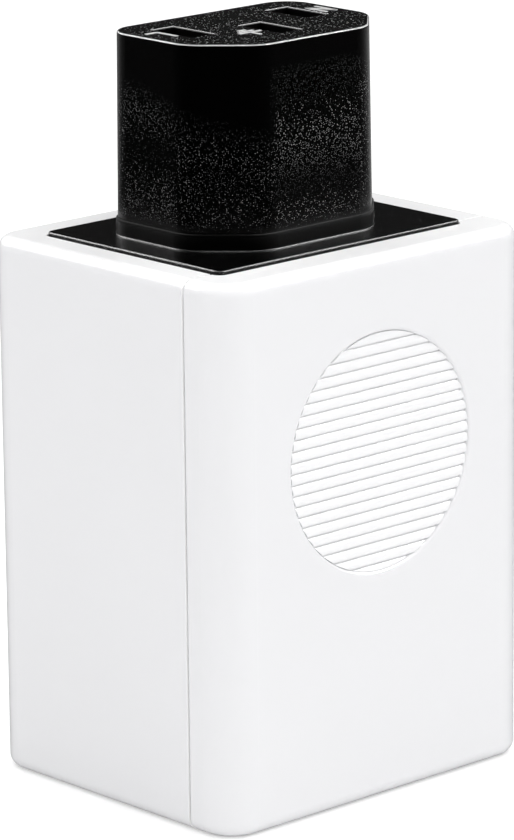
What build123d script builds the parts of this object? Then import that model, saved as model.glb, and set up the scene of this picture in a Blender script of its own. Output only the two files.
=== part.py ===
from build123d import *
import os
from math import atan2, cos, degrees, radians, sin, sqrt

os.makedirs("parts", exist_ok=True)

# The case stands on its bottom rim: origin in the middle of that rim, +Z up,
# -Y towards the front face with the medallion, all sizes in millimetres.

# Case
CASE_WIDTH = 38.0
CASE_DEPTH = 32.0
CASE_HEIGHT = 50.5
FRONT_CORNER_RADIUS = 3.5
REAR_CORNER_RADIUS = 3.0
EDGE_RADIUS = 1.2
SIDE_WALL = 2.0
END_WALL = 3.0

# How far a cut runs on past the face that it opens
CUT_PAST = 1.0

# Parting line between the two shells
FRONT_SHELL_DEPTH = 5.4
SEAM_GAP = 0.12
SEAM_CHAMFER = 0.15
LIP_THICKNESS = 0.9
LIP_REACH = 1.6
LIP_LENGTH = 40.0
LIP_CLEARANCE = 0.08
BEAD_RADIUS = 0.3
BEAD_LENGTH = 12.0

# Ribbed medallion in the front face
MEDALLION_DIAMETER = 22.0
MEDALLION_HEIGHT = 32.5
MEDALLION_RIM_RADIUS = 0.4
RIB_PITCH = 1.02
RIB_TOP_DEPTH = 0.32
RIB_FOOT_DEPTH = 0.12
RIB_BULGE = 0.08
RIB_GROOVE_DEPTH = 0.12
RIB_GROOVE_WIDTH = 0.25

# Place of the contact group, the same in both sockets
SOCKET_SHIFT_LEFT = 0.5
SOCKET_SHIFT_FRONT = 0.43
POLE_SPACING = 14.0
EARTH_STEP = 4.0

# Recess that takes the mains lead's socket
RECESS_WIDTH = 24.4
RECESS_DEPTH = 16.9
RECESS_CHAMFER = 5.0
RECESS_CORNER_RADIUS = 3.0
RECESS_EDGE_RADIUS = 0.4
RECESS_REACH = 16.0
RECESS_MOUTH_CHAMFER = 0.4

# Inner body and flange, the same in both sockets, built outwards from that recess
BODY_SIDE_WALL = 1.2
BODY_FRONT_WALL = 1.25
BODY_WIDTH = RECESS_WIDTH + 2 * BODY_SIDE_WALL
BODY_DEPTH = RECESS_DEPTH + 2 * BODY_FRONT_WALL
FLANGE_SIDE_LEDGE = 1.6
FLANGE_FRONT_LEDGE = 2.0
FLANGE_WIDTH = BODY_WIDTH + 2 * FLANGE_SIDE_LEDGE
FLANGE_DEPTH = BODY_DEPTH + 2 * FLANGE_FRONT_LEDGE
FLANGE_THICKNESS = 1.8
FLANGE_CORNER_RADIUS = 0.8
FLANGE_EDGE_RADIUS = 0.2
FLANGE_CLEARANCE = 0.12
BODY_CHAMFER = 5.4
BODY_CORNER_RADIUS = 3.4
BODY_EDGE_RADIUS = 0.6
BODY_CLEARANCE = 0.15
LUG_REACH = 0.8
LUG_WIDTH = 8.0
LUG_HEIGHT = 2.0
LUG_CLEARANCE = 0.05

# Outlet on top
OUTLET_PROUD = 0.35
NOSE_WIDTH = 22.65
NOSE_DEPTH = 15.7
NOSE_HEIGHT = 18.5
NOSE_DRAFT = 0.2
NOSE_CHAMFER = 4.8
NOSE_CORNER_RADIUS = 3.0
NOSE_EDGE_RADIUS = 3.5
NOSE_TOP_RADIUS = 0.2
NOSE_FACE_THICKNESS = 3.0
COLLAR_HEIGHT = 1.5
COLLAR_STEP = 0.15
COLLAR_EDGE_RADIUS = 0.1
COLLAR_FOOT_RADIUS = 0.12
SLOT_WIDTH = 2.6
SLOT_LENGTH = 5.4
SLOT_MOUTH_CHAMFER = 0.1
CHAMBER_WIDTH = 4.2
CHAMBER_LENGTH = 6.2
OUTLET_TAIL_DEPTH = 4.65
OUTLET_TAIL_WALL = 1.3
COVER_THICKNESS = 1.6
COVER_CLEARANCE = 0.1

# Sprung contacts of the outlet
CONTACT_SHEET = 0.4
CONTACT_LENGTH = 5.0
CONTACT_OUTER_WIDTH = 3.8
CONTACT_THROAT = 1.5
CONTACT_MOUTH = 2.8
CONTACT_THROAT_DROP = 2.4
CONTACT_SHOULDER_DROP = 7.5
CONTACT_HEADROOM = 0.5
CONTACT_BEND_RADIUS = 0.45
TAB_THICKNESS = 0.8
TAB_WIDTH = 4.0
TAB_LENGTH = 4.0
TAB_CLEARANCE = 0.1

# Inlet in the underside
INLET_SET_BACK = 0.2
INLET_FLOOR = 3.0
PIN_THICKNESS = 2.0
PIN_WIDTH = 4.0
PIN_SET_BACK = 1.0
PIN_TIP_CHAMFER = 0.5

# Circuit board on its moulded pegs, in the room between the two sockets
BOARD_SIDE_GAP = 1.5
BOARD_END_GAP = 0.5
BOARD_THICKNESS = 1.6
BOARD_CORNER_RADIUS = 1.0
PAD_RADIUS = 1.8
PAD_HEIGHT = 1.0
PEG_RADIUS = 0.9
PEG_CLEARANCE = 0.15
PEG_HEAD_RADIUS = 1.5
PEG_HEAD_HEIGHT = 0.9
PEG_HEAD_CHAMFER = 0.5
PEG_INSET = 1.9

# Parts on the board
LEAD_RADIUS = 0.3
LEAD_STUB = 0.6
LEAD_ROOT = 1.0
LEAD_CLEARANCE = 0.15
CAN_RADIUS = 3.15
CAN_LENGTH = 15.0
CAN_GAP = 0.4
CAN_EDGE_GAP = 0.3
CAN_CRIMP_DEPTH = 0.3
CAN_CRIMP_OFFSET = 2.0
CAN_CRIMP_WIDTH = 1.0
CAN_TOP_CHAMFER = 0.4
CAN_LEAD_SPACING = 2.5
BRIDGE_WIDTH = 10.0
BRIDGE_HEIGHT = 8.0
BRIDGE_THICKNESS = 2.6
BRIDGE_CHAMFER = 1.5
BRIDGE_LEAD_SPACING = 2.5
BOX_CAPACITOR_WIDTH = 10.0
BOX_CAPACITOR_HEIGHT = 9.0
BOX_CAPACITOR_THICKNESS = 4.0
BOX_CAPACITOR_LEAD_SPACING = 7.5
BOX_EDGE_RADIUS = 0.4
STACK_GAP = 0.25
VARISTOR_RADIUS = 3.6
VARISTOR_THICKNESS = 2.6
VARISTOR_STANDOFF = 0.5
VARISTOR_LEAD_SPACING = 5.0
VARISTOR_EDGE_CHAMFER = 0.7
RESISTOR_RADIUS = 1.2
RESISTOR_LENGTH = 6.3
RESISTOR_LEAD_SPACING = 9.0
RESISTOR_LEAD_BEND = 0.6

# Wires
WIRE_RADIUS = 0.9
CONDUCTOR_RADIUS = 0.5
WIRE_STRIP = 1.0
EARTH_WIRE_REACH = 4.0
EARTH_WIRE_BEND = 2.2

# Places worked out from the sizes above
FRONT_Y = -CASE_DEPTH / 2
REAR_Y = CASE_DEPTH / 2
SEAM_Y = FRONT_Y + FRONT_SHELL_DEPTH
INNER_X = CASE_WIDTH / 2 - SIDE_WALL
AXIS_X = -SOCKET_SHIFT_LEFT
AXIS_Y = -SOCKET_SHIFT_FRONT

OUTLET_TOP = CASE_HEIGHT + OUTLET_PROUD
OUTLET_SEAT = OUTLET_TOP - FLANGE_THICKNESS
NOSE_TOP = OUTLET_TOP + NOSE_HEIGHT
TAIL_BOTTOM = OUTLET_SEAT - OUTLET_TAIL_DEPTH
COVER_TOP = TAIL_BOTTOM + COVER_THICKNESS
CHAMBER_TOP = NOSE_TOP - NOSE_FACE_THICKNESS

INLET_SEAT = INLET_SET_BACK + FLANGE_THICKNESS
RECESS_TOP = INLET_SET_BACK + RECESS_REACH
INLET_TOP = RECESS_TOP + INLET_FLOOR
PIN_TAB_TOP = INLET_TOP + TAB_LENGTH

BOARD_BACK = REAR_Y - SIDE_WALL - PAD_HEIGHT
BOARD_FRONT = BOARD_BACK - BOARD_THICKNESS
BOARD_WIDTH = 2 * (INNER_X - BOARD_SIDE_GAP)
BOARD_BOTTOM = INLET_TOP + BOARD_END_GAP
BOARD_TOP = TAIL_BOTTOM - BOARD_END_GAP
BOARD_MIDDLE = (BOARD_BOTTOM + BOARD_TOP) / 2
LEAD_END = BOARD_BACK + LEAD_STUB

POLES = {
    "live": (AXIS_X - POLE_SPACING / 2, AXIS_Y + EARTH_STEP / 2),
    "neutral": (AXIS_X + POLE_SPACING / 2, AXIS_Y + EARTH_STEP / 2),
    "earth": (AXIS_X, AXIS_Y - EARTH_STEP / 2),
}

CAN_X = BOARD_WIDTH / 2 - CAN_EDGE_GAP - CAN_RADIUS
CAN_STEP = CAN_RADIUS + CAN_GAP / 2
CAN_PLACES = [(x, BOARD_MIDDLE + dz) for dz in (-CAN_STEP, CAN_STEP) for x in (-CAN_X, CAN_X)]
BRIDGE_STEP = (BRIDGE_THICKNESS + BOX_CAPACITOR_THICKNESS) / 2 + STACK_GAP
LIVE_BRIDGE_Z = BOARD_MIDDLE - BRIDGE_STEP
NEUTRAL_BRIDGE_Z = BOARD_MIDDLE + BRIDGE_STEP
INLET_WIRE_Z = INLET_TOP + TAB_LENGTH / 2
OUTLET_WIRE_Z = TAIL_BOTTOM - TAB_LENGTH / 2


def box_between(low, high):
    """A box given by its lowest and its highest corner."""
    size = [b - a for a, b in zip(low, high)]
    centre = [(a + b) / 2 for a, b in zip(low, high)]
    return Pos(*centre) * Box(*size)


def rod_along_y(x, z, y_from, y_to, radius):
    """A round rod that lies along the depth of the case."""
    return Pos(x, (y_from + y_to) / 2, z) * Rot(90, 0, 0) * Cylinder(radius, y_to - y_from)


def case_outline(inset=0.0):
    """The case seen from above, or its cavity when it is drawn inwards by a wall."""
    outline = Rectangle(CASE_WIDTH - 2 * inset, CASE_DEPTH - 2 * inset)
    rows = outline.vertices().group_by(Axis.Y)
    outline = fillet(rows[0], FRONT_CORNER_RADIUS - inset)
    rear = outline.vertices().group_by(Axis.Y)[-1]
    return fillet(rear, REAR_CORNER_RADIUS - inset)


def socket_outline(width, depth, front_chamfer, rear_radius, edge_radius):
    """A mains socket's outline: chamfered corners at the front, round ones at the rear."""
    outline = Rectangle(width, depth)
    outline = chamfer(outline.vertices().group_by(Axis.Y)[0], front_chamfer)
    outline = fillet(outline.vertices().group_by(Axis.Y)[-1], rear_radius)
    split = (front_chamfer - rear_radius) / 2
    blunt = outline.vertices().filter_by(lambda vertex: vertex.Y < split)
    return Pos(AXIS_X, AXIS_Y) * fillet(blunt, edge_radius)


def flange_outline(clearance=0.0):
    """The rounded plate of either socket, with the clearance of the pocket that takes it."""
    outline = RectangleRounded(
        FLANGE_WIDTH + 2 * clearance,
        FLANGE_DEPTH + 2 * clearance,
        FLANGE_CORNER_RADIUS + clearance,
    )
    return Pos(AXIS_X, 0) * outline


def body_outline(grow=0.0):
    """The inner body of either socket, larger or smaller by a wall or a clearance."""
    return socket_outline(
        BODY_WIDTH + 2 * grow,
        BODY_DEPTH + 2 * grow,
        BODY_CHAMFER + (2 - sqrt(2)) * grow,
        BODY_CORNER_RADIUS + grow,
        BODY_EDGE_RADIUS,
    )


def case_block():
    """The closed case as one filled block, with its outer edges rounded."""
    block = extrude(case_outline(), CASE_HEIGHT)
    rims = block.edges().group_by(Axis.Z)
    return fillet(rims[0] + rims[-1], EDGE_RADIUS)


def case_cavity():
    """The room inside the closed case."""
    return Pos(0, 0, END_WALL) * extrude(case_outline(SIDE_WALL), CASE_HEIGHT - 2 * END_WALL)


def flange_pockets():
    """The pockets in the top and the underside that take the two flanges."""
    pocket = flange_outline(FLANGE_CLEARANCE)
    top = Pos(0, 0, OUTLET_SEAT) * extrude(pocket, CASE_HEIGHT)
    bottom = Pos(0, 0, INLET_SEAT) * extrude(pocket, -CASE_HEIGHT)
    return top + bottom


def lip_box(side, grow):
    """The lip on one side wall, or the rebate that takes it when grown by the clearance."""
    low_x = INNER_X - grow
    high_x = INNER_X + LIP_THICKNESS + grow
    half = LIP_LENGTH / 2 + grow
    middle = CASE_HEIGHT / 2
    lip = box_between(
        (low_x, SEAM_Y - SEAM_GAP - SIDE_WALL / 2, middle - half),
        (high_x, SEAM_Y + LIP_REACH + grow, middle + half),
    )
    bead = Pos(INNER_X + LIP_THICKNESS, SEAM_Y + LIP_REACH / 2, middle) * Cylinder(
        BEAD_RADIUS + grow, BEAD_LENGTH + 2 * grow
    )
    shape = lip + bead
    return shape if side > 0 else mirror(shape, Plane.YZ)


def medallion_cutter():
    """The hollow of the medallion: grooved louvres inside a circle with a rounded rim."""
    radius = MEDALLION_DIAMETER / 2
    count = int(radius / RIB_PITCH)
    outside = FRONT_Y - CUT_PAST
    foot_y = FRONT_Y + RIB_FOOT_DEPTH
    middle_y = FRONT_Y + (RIB_TOP_DEPTH + RIB_FOOT_DEPTH) / 2 - RIB_BULGE
    top_y = FRONT_Y + RIB_TOP_DEPTH
    groove_y = top_y + RIB_GROOVE_DEPTH
    with BuildSketch(Plane.YZ) as section:
        with BuildLine():
            top = MEDALLION_HEIGHT + radius + RIB_PITCH
            first = MEDALLION_HEIGHT + count * RIB_PITCH
            Polyline((outside, top), (foot_y, top), (foot_y, first), (groove_y, first))
            for index in range(count, -count - 1, -1):
                high = MEDALLION_HEIGHT + index * RIB_PITCH
                low = high - RIB_PITCH
                start = high - RIB_GROOVE_WIDTH
                Polyline((groove_y, high), (groove_y, start), (top_y, start))
                ThreePointArc((top_y, start), (middle_y, (start + low) / 2), (foot_y, low))
                if index > -count:
                    Line((foot_y, low), (groove_y, low))
            Polyline((foot_y, low), (outside, low), (outside, top))
        make_face()
    louvres = extrude(section.sketch, radius + RIB_PITCH, both=True)
    centre = Pos(0, FRONT_Y, MEDALLION_HEIGHT) * Rot(90, 0, 0)
    reach = CUT_PAST + RIB_TOP_DEPTH + RIB_GROOVE_DEPTH
    hollow = louvres & (centre * Cylinder(radius, 2 * reach))
    rim = MEDALLION_RIM_RADIUS
    with BuildSketch(Plane.XZ) as corner:
        with BuildLine():
            Polyline((radius, -rim), (radius, 0), (radius + rim, 0))
            ThreePointArc(
                (radius + rim, 0),
                (radius + rim - rim * cos(radians(45)), rim * sin(radians(45)) - rim),
                (radius, -rim),
            )
        make_face()
    ring = revolve(corner.sketch, Axis.Z)
    return hollow + centre * ring


def body_opening():
    """The upright shaft through both end walls that the two socket bodies stand in."""
    return extrude(body_outline(BODY_CLEARANCE), CASE_HEIGHT)


def lug_pockets():
    """Room for the snap lugs behind both end walls, which a narrow case needs in its sides."""
    reach = BODY_WIDTH / 2 + LUG_REACH + BODY_CLEARANCE
    half = LUG_WIDTH / 2 + BODY_CLEARANCE
    depth = LUG_CLEARANCE + LUG_HEIGHT + BODY_CLEARANCE
    lower = box_between(
        (AXIS_X - reach, AXIS_Y - half, END_WALL),
        (AXIS_X + reach, AXIS_Y + half, END_WALL + depth),
    )
    upper = Pos(0, 0, CASE_HEIGHT - 2 * END_WALL - depth) * lower
    return lower + upper


def front_shell():
    """The shallow front lid with its medallion and the lips that snap into the rear shell."""
    room = box_between(
        (-CASE_WIDTH, FRONT_Y - CUT_PAST, -CUT_PAST),
        (CASE_WIDTH, SEAM_Y - SEAM_GAP, CASE_HEIGHT + CUT_PAST),
    )
    shell = case_block() & room
    rim = shell.faces().sort_by(Axis.Y)[-1].outer_wire().edges()
    shell = chamfer(rim, SEAM_CHAMFER)
    shell = shell - case_cavity() - flange_pockets()
    shell = shell + lip_box(1, 0.0) + lip_box(-1, 0.0)
    return shell - body_opening() - medallion_cutter()


def board_peg_places():
    """The four pegs near the board's corners, as pairs of X and Z."""
    x = BOARD_WIDTH / 2 - PEG_INSET
    heights = (BOARD_BOTTOM + PEG_INSET, BOARD_TOP - PEG_INSET)
    return [(side * x, z) for side in (-1, 1) for z in heights]


def rear_shell():
    """The deep rear half, open at the seam, with the board's pads and staked pegs."""
    room = box_between(
        (-CASE_WIDTH, SEAM_Y, -CUT_PAST),
        (CASE_WIDTH, REAR_Y + CUT_PAST, CASE_HEIGHT + CUT_PAST),
    )
    shell = (case_block() & room) - case_cavity() - flange_pockets()
    shell = shell - lip_box(1, LIP_CLEARANCE) - lip_box(-1, LIP_CLEARANCE)
    half_opening = BODY_WIDTH / 2 + BODY_CLEARANCE
    way_in = box_between(
        (AXIS_X - half_opening, SEAM_Y - CUT_PAST, 0),
        (AXIS_X + half_opening, AXIS_Y, CASE_HEIGHT),
    )
    shell = shell - body_opening() - way_in - lug_pockets()
    for x, z in board_peg_places():
        shell += rod_along_y(x, z, BOARD_BACK, REAR_Y - SIDE_WALL / 2, PAD_RADIUS)
        shell += rod_along_y(x, z, BOARD_FRONT, BOARD_BACK, PEG_RADIUS)
        head = rod_along_y(x, z, BOARD_FRONT - PEG_HEAD_HEIGHT, BOARD_FRONT, PEG_HEAD_RADIUS)
        shell += chamfer(head.edges().group_by(Axis.Y)[0], PEG_HEAD_CHAMFER)
    return shell


def snap_lugs(wall_z, direction):
    """Wedges on both sides of a socket body that catch behind the case wall."""
    near = wall_z + direction * LUG_CLEARANCE
    far = near + direction * LUG_HEIGHT
    half = BODY_WIDTH / 2
    lugs = Part()
    for side in (-1, 1):
        foot = AXIS_X + side * half
        points = [
            (foot - side * BODY_EDGE_RADIUS, near),
            (foot + side * LUG_REACH, near),
            (foot, far),
            (foot - side * BODY_EDGE_RADIUS, far),
        ]
        wedge = extrude(Plane.XZ * make_face(Polyline(*points, close=True)), LUG_WIDTH / 2, both=True)
        lugs += Pos(0, AXIS_Y, 0) * wedge
    return lugs


def pole_boxes(width, length, low, high):
    """One upright box at each of the three poles."""
    boxes = [
        box_between((x - width / 2, y - length / 2, low), (x + width / 2, y + length / 2, high))
        for x, y in POLES.values()
    ]
    return boxes[0] + boxes[1] + boxes[2]


def nose_outline(grow):
    """The outline of the nose's face, made larger all round by a draft or a step."""
    return socket_outline(
        NOSE_WIDTH + 2 * grow,
        NOSE_DEPTH + 2 * grow,
        NOSE_CHAMFER + (2 - sqrt(2)) * grow,
        NOSE_CORNER_RADIUS + grow,
        NOSE_EDGE_RADIUS + grow,
    )


def outlet_body():
    """The black socket moulding: flange, collared nose with three slots, and hollow tail."""
    draft_angle = degrees(atan2(NOSE_DRAFT, NOSE_HEIGHT))
    nose = extrude(nose_outline(NOSE_DRAFT), NOSE_HEIGHT, taper=draft_angle)
    nose = fillet(nose.faces().sort_by(Axis.Z)[-1].edges(), NOSE_TOP_RADIUS)
    collar = extrude(nose_outline(NOSE_DRAFT + COLLAR_STEP), COLLAR_HEIGHT)
    collar = fillet(collar.faces().sort_by(Axis.Z)[-1].edges(), COLLAR_EDGE_RADIUS)
    flange = Pos(0, 0, OUTLET_SEAT) * extrude(flange_outline(), FLANGE_THICKNESS)
    flange = fillet(flange.edges().group_by(Axis.Z)[-1], FLANGE_EDGE_RADIUS)
    body = flange + Pos(0, 0, OUTLET_TOP) * (nose + collar)
    seat = body.faces().filter_by(Plane.XY).filter_by(
        lambda face: abs(face.center().Z - OUTLET_TOP) < 0.001
    )[0]
    body = fillet(seat.inner_wires()[0].edges(), COLLAR_FOOT_RADIUS)
    body += Pos(0, 0, TAIL_BOTTOM) * extrude(body_outline(), OUTLET_TAIL_DEPTH)
    body += snap_lugs(CASE_HEIGHT - END_WALL, -1)
    body -= Pos(0, 0, TAIL_BOTTOM) * extrude(body_outline(-OUTLET_TAIL_WALL), COVER_THICKNESS)
    body -= pole_boxes(CHAMBER_WIDTH, CHAMBER_LENGTH, TAIL_BOTTOM, CHAMBER_TOP)
    body -= pole_boxes(SLOT_WIDTH, SLOT_LENGTH, TAIL_BOTTOM, NOSE_TOP + CUT_PAST)
    face = body.faces().filter_by(Plane.XY).sort_by(Axis.Z)[-1]
    mouths = [edge for wire in face.inner_wires() for edge in wire.edges()]
    return chamfer(mouths, SLOT_MOUTH_CHAMFER)


def outlet_cover():
    """The plate in the tail's rebate that holds the contacts up, with a slit for each tab."""
    outline = body_outline(-OUTLET_TAIL_WALL - COVER_CLEARANCE)
    plate = Pos(0, 0, TAIL_BOTTOM) * extrude(outline, COVER_THICKNESS)
    return plate - pole_boxes(
        TAB_THICKNESS + 2 * TAB_CLEARANCE,
        TAB_WIDTH + 2 * TAB_CLEARANCE,
        TAIL_BOTTOM,
        COVER_TOP,
    )


def outlet_contact(x, y):
    """A folded spring: two leaves that pinch at a throat, a flat base and a solder tab."""
    half = CONTACT_SHEET / 2
    side = CONTACT_OUTER_WIDTH / 2 - half
    top = CHAMBER_TOP - CONTACT_HEADROOM
    base = COVER_TOP + half
    right = [
        (side, base),
        (side, top - CONTACT_SHOULDER_DROP),
        (CONTACT_THROAT / 2 + half, top - CONTACT_THROAT_DROP),
        (CONTACT_MOUTH / 2, top),
    ]
    left = [(-px, pz) for px, pz in reversed(right)]
    path = FilletPolyline(*left, *right, radius=CONTACT_BEND_RADIUS)
    sheet = trace(path, line_width=CONTACT_SHEET)
    spring = extrude(Plane.XZ * sheet, CONTACT_LENGTH / 2, both=True)
    tab = box_between(
        (-TAB_THICKNESS / 2, -TAB_WIDTH / 2, TAIL_BOTTOM - TAB_LENGTH),
        (TAB_THICKNESS / 2, TAB_WIDTH / 2, base),
    )
    return Pos(x, y, 0) * (spring + tab)


def inlet_body():
    """The inlet moulding: flange, deep recess with a chamfered mouth, and pin floor."""
    flange = Pos(0, 0, INLET_SET_BACK) * extrude(flange_outline(), FLANGE_THICKNESS)
    flange = fillet(flange.edges().group_by(Axis.Z)[0], FLANGE_EDGE_RADIUS)
    body = flange + Pos(0, 0, INLET_SEAT) * extrude(body_outline(), INLET_TOP - INLET_SEAT)
    body += snap_lugs(END_WALL, 1)
    recess_outline = socket_outline(
        RECESS_WIDTH, RECESS_DEPTH, RECESS_CHAMFER, RECESS_CORNER_RADIUS, RECESS_EDGE_RADIUS
    )
    body -= Pos(0, 0, INLET_SET_BACK) * extrude(recess_outline, RECESS_REACH)
    face = body.faces().filter_by(Plane.XY).sort_by(Axis.Z)[0]
    body = chamfer(face.inner_wires()[0].edges(), RECESS_MOUTH_CHAMFER)
    return body - pole_boxes(PIN_THICKNESS, PIN_WIDTH, RECESS_TOP, INLET_TOP)


def inlet_pin(x, y):
    """A flat pin with a bevelled tip that ends in a thin solder tab behind the floor."""
    pin = box_between(
        (-PIN_THICKNESS / 2, -PIN_WIDTH / 2, INLET_SET_BACK + PIN_SET_BACK),
        (PIN_THICKNESS / 2, PIN_WIDTH / 2, INLET_TOP),
    )
    pin = chamfer(pin.faces().sort_by(Axis.Z)[0].edges(), PIN_TIP_CHAMFER)
    tab = box_between(
        (-TAB_THICKNESS / 2, -TAB_WIDTH / 2, INLET_TOP),
        (TAB_THICKNESS / 2, TAB_WIDTH / 2, PIN_TAB_TOP),
    )
    return Pos(x, y, 0) * (pin + tab)


def spread(count, spacing):
    """Positions of a row of leads about its middle."""
    return [(index - (count - 1) / 2) * spacing for index in range(count)]


def lead_places():
    """Every lead that goes through the board, as pairs of X and Z."""
    places = []
    for x, z in CAN_PLACES:
        places += [(x + dx, z) for dx in spread(2, CAN_LEAD_SPACING)]
    for z in (LIVE_BRIDGE_Z, NEUTRAL_BRIDGE_Z):
        places += [(dx, z) for dx in spread(4, BRIDGE_LEAD_SPACING)]
    places += [(dx, BOARD_MIDDLE) for dx in spread(2, BOX_CAPACITOR_LEAD_SPACING)]
    places += [(AXIS_X + dx, OUTLET_WIRE_Z) for dx in spread(2, VARISTOR_LEAD_SPACING)]
    places += [(AXIS_X + dx, INLET_WIRE_Z) for dx in spread(2, RESISTOR_LEAD_SPACING)]
    return places


def circuit_board():
    """The board, drilled for its pegs, for every lead and for the four power wires."""
    outline = RectangleRounded(BOARD_WIDTH, BOARD_TOP - BOARD_BOTTOM, BOARD_CORNER_RADIUS)
    board = Pos(0, BOARD_BACK, BOARD_MIDDLE) * extrude(Plane.XZ * outline, BOARD_THICKNESS)
    holes = [(x, z, PEG_RADIUS + PEG_CLEARANCE) for x, z in board_peg_places()]
    holes += [(x, z, LEAD_RADIUS + LEAD_CLEARANCE) for x, z in lead_places()]
    for pole in ("live", "neutral"):
        for z in (INLET_WIRE_Z, OUTLET_WIRE_Z):
            holes.append((POLES[pole][0], z, CONDUCTOR_RADIUS + LEAD_CLEARANCE))
    for x, z, radius in holes:
        board -= rod_along_y(x, z, BOARD_FRONT - CUT_PAST, BOARD_BACK + CUT_PAST, radius)
    return board


def with_leads(body, offsets, start_y):
    """A part with its straight leads, at offsets from its own middle, through the board."""
    for dx in offsets:
        body += rod_along_y(dx, 0, start_y, LEAD_END, LEAD_RADIUS)
    return body


def blocking_capacitor(x, z):
    """A can on its side, base on the board, with a crimped neck and a bevelled far rim."""
    crimp = CAN_RADIUS - CAN_CRIMP_DEPTH
    points = [
        (0, 0),
        (CAN_RADIUS, 0),
        (CAN_RADIUS, CAN_CRIMP_OFFSET - CAN_CRIMP_WIDTH / 2),
        (crimp, CAN_CRIMP_OFFSET),
        (CAN_RADIUS, CAN_CRIMP_OFFSET + CAN_CRIMP_WIDTH / 2),
        (CAN_RADIUS, CAN_LENGTH),
        (0, CAN_LENGTH),
    ]
    section = Plane.XZ * make_face(Polyline(*points, close=True))
    can = revolve(section, Axis.Z)
    can = chamfer(can.edges().group_by(Axis.Z)[-1], CAN_TOP_CHAMFER)
    can = Pos(0, BOARD_FRONT, 0) * Rot(90, 0, 0) * can
    can = with_leads(can, spread(2, CAN_LEAD_SPACING), BOARD_FRONT - CAN_CRIMP_OFFSET)
    return Pos(x, 0, z) * can


def bridge(z):
    """A flat rectifier block on edge, one top corner cut off, with four leads in line."""
    block = box_between(
        (-BRIDGE_WIDTH / 2, BOARD_FRONT - BRIDGE_HEIGHT, -BRIDGE_THICKNESS / 2),
        (BRIDGE_WIDTH / 2, BOARD_FRONT, BRIDGE_THICKNESS / 2),
    )
    corner = block.edges().filter_by(Axis.Z).sort_by(Axis.X)[:2].sort_by(Axis.Y)[0]
    block = chamfer(corner, BRIDGE_CHAMFER)
    block = with_leads(block, spread(4, BRIDGE_LEAD_SPACING), BOARD_FRONT - LEAD_ROOT)
    return Pos(0, 0, z) * block


def suppression_capacitor():
    """A film capacitor in a moulded box with softened edges."""
    box = box_between(
        (-BOX_CAPACITOR_WIDTH / 2, BOARD_FRONT - BOX_CAPACITOR_HEIGHT, -BOX_CAPACITOR_THICKNESS / 2),
        (BOX_CAPACITOR_WIDTH / 2, BOARD_FRONT, BOX_CAPACITOR_THICKNESS / 2),
    )
    box = fillet(box.edges().filter_by(Axis.Y), BOX_EDGE_RADIUS)
    box = with_leads(box, spread(2, BOX_CAPACITOR_LEAD_SPACING), BOARD_FRONT - LEAD_ROOT)
    return Pos(0, 0, BOARD_MIDDLE) * box


def surge_varistor():
    """A coated disc held off the board by its two leads, between the outlet's wires."""
    disc = Cylinder(VARISTOR_RADIUS, VARISTOR_THICKNESS)
    rims = disc.edges().filter_by(GeomType.CIRCLE)
    disc = chamfer(rims, VARISTOR_EDGE_CHAMFER)
    middle_y = BOARD_FRONT - VARISTOR_STANDOFF - VARISTOR_RADIUS
    disc = Pos(0, middle_y, 0) * disc
    disc = with_leads(disc, spread(2, VARISTOR_LEAD_SPACING), middle_y)
    return Pos(AXIS_X, 0, OUTLET_WIRE_Z) * disc


def bleed_resistor():
    """An axial resistor on the board between the inlet's wires, its leads bent down into it."""
    axis_y = BOARD_FRONT - RESISTOR_RADIUS
    half = RESISTOR_LEAD_SPACING / 2
    body = Pos(0, axis_y, 0) * Rot(0, 90, 0) * Cylinder(RESISTOR_RADIUS, RESISTOR_LENGTH)
    path = FilletPolyline(
        (-half, LEAD_END, 0),
        (-half, axis_y, 0),
        (half, axis_y, 0),
        (half, LEAD_END, 0),
        radius=RESISTOR_LEAD_BEND,
    )
    section = Plane(origin=path @ 0, z_dir=path % 0) * Circle(LEAD_RADIUS)
    return Pos(AXIS_X, 0, INLET_WIRE_Z) * (body + sweep(section, path))


def power_wire(pole, z):
    """A straight insulated wire from a solder tab's rear edge into the board."""
    x, y = POLES[pole]
    tab_edge = y + TAB_WIDTH / 2
    wire = rod_along_y(x, z, tab_edge, LEAD_END, CONDUCTOR_RADIUS)
    return wire + rod_along_y(x, z, tab_edge + WIRE_STRIP, BOARD_FRONT - WIRE_STRIP / 2, WIRE_RADIUS)


def earth_wire():
    """The earth wire, bowed forward from the inlet's tab up to the outlet's tab."""
    x, y = POLES["earth"]
    tab_edge = y - TAB_WIDTH / 2
    bow_y = tab_edge - EARTH_WIRE_REACH
    wire = Part()
    for start, radius in ((tab_edge, CONDUCTOR_RADIUS), (tab_edge - WIRE_STRIP, WIRE_RADIUS)):
        path = FilletPolyline(
            (x, start, INLET_WIRE_Z),
            (x, bow_y, INLET_WIRE_Z),
            (x, bow_y, OUTLET_WIRE_Z),
            (x, start, OUTLET_WIRE_Z),
            radius=EARTH_WIRE_BEND,
        )
        section = Plane(origin=path @ 0, z_dir=path % 0) * Circle(radius)
        wire += sweep(section, path)
    return wire


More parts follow.
